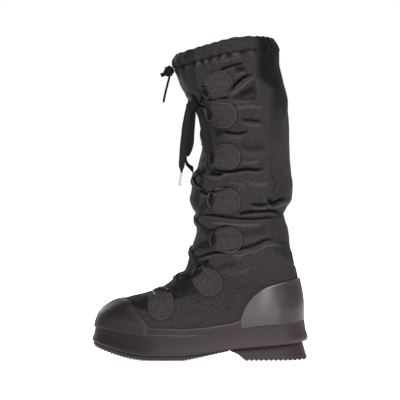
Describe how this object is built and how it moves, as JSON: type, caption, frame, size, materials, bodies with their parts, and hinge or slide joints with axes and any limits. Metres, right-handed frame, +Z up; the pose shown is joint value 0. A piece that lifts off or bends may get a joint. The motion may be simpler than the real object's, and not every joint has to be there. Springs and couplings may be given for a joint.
{
  "type": "tall lace-up winter boot",
  "caption": "Tall left winter boot: soft gathered nylon shaft laced through cord loops on webbing tabs, with a moulded rubber bottom, toe cap, heel counter and heel.",
  "frame": {"origin": "middle of the heel's ground face, on the ground", "axes": "+Z up, toe towards -X, the outer (lateral) side of the left foot towards -Y"},
  "size_m": [0.285, 0.1099, 0.4214],
  "materials": {
    "nylon": "woven nylon, matt with a faint sheen",
    "rubber": "moulded rubber, satin",
    "webbing": "stitched webbing, matt",
    "cord": "round braided cord, slightly glossy",
    "lace": "flat woven lace, matt",
    "insole_felt": "pressed felt",
    "aglet": "clear tube over a pale lace end"
  },
  "bodies": {
    "root": {"upper": "nylon", "sole_cup": "rubber", "insole": "insole_felt", "outsole": "rubber", "heel": "rubber", "toe_cap": "rubber", "heel_counter": "rubber", "foxing_lateral": "rubber", "foxing_medial": "rubber", "collar_tunnel": "nylon", "lace_tab_lateral_1": "webbing", "lace_ring_lateral_1": "cord", "lace_tab_lateral_2": "webbing", "lace_ring_lateral_2": "cord", "lace_tab_lateral_3": "webbing", "lace_ring_lateral_3": "cord", "lace_tab_lateral_4": "webbing", "lace_ring_lateral_4": "cord", "lace_tab_lateral_5": "webbing", "lace_ring_lateral_5": "cord", "lace_tab_lateral_6": "webbing", "lace_ring_lateral_6": "cord", "lace_tab_lateral_7": "webbing", "lace_ring_lateral_7": "cord", "lace_tab_medial_1": "webbing", "lace_ring_medial_1": "cord", "lace_tab_medial_2": "webbing", "lace_ring_medial_2": "cord", "lace_tab_medial_3": "webbing", "lace_ring_medial_3": "cord", "lace_tab_medial_4": "webbing", "lace_ring_medial_4": "cord", "lace_tab_medial_5": "webbing", "lace_ring_medial_5": "cord", "lace_tab_medial_6": "webbing", "lace_ring_medial_6": "cord", "lace_tab_medial_7": "webbing", "lace_ring_medial_7": "cord", "lace_crossing_1": "lace", "lace_crossing_2": "lace", "lace_crossing_3": "lace", "lace_crossing_4": "lace", "lace_crossing_5": "lace", "lace_crossing_6": "lace", "lace_bottom_bar": "lace", "lace_top_run": "lace", "lace_knot": "lace", "lace_loop_front": "lace", "lace_loop_side": "lace", "lace_end_front": "lace", "aglet_front": "aglet", "lace_end_back": "lace", "aglet_back": "aglet", "drawcord_knot": "cord", "drawcord_end": "cord"}
  },
  "joints": []
}
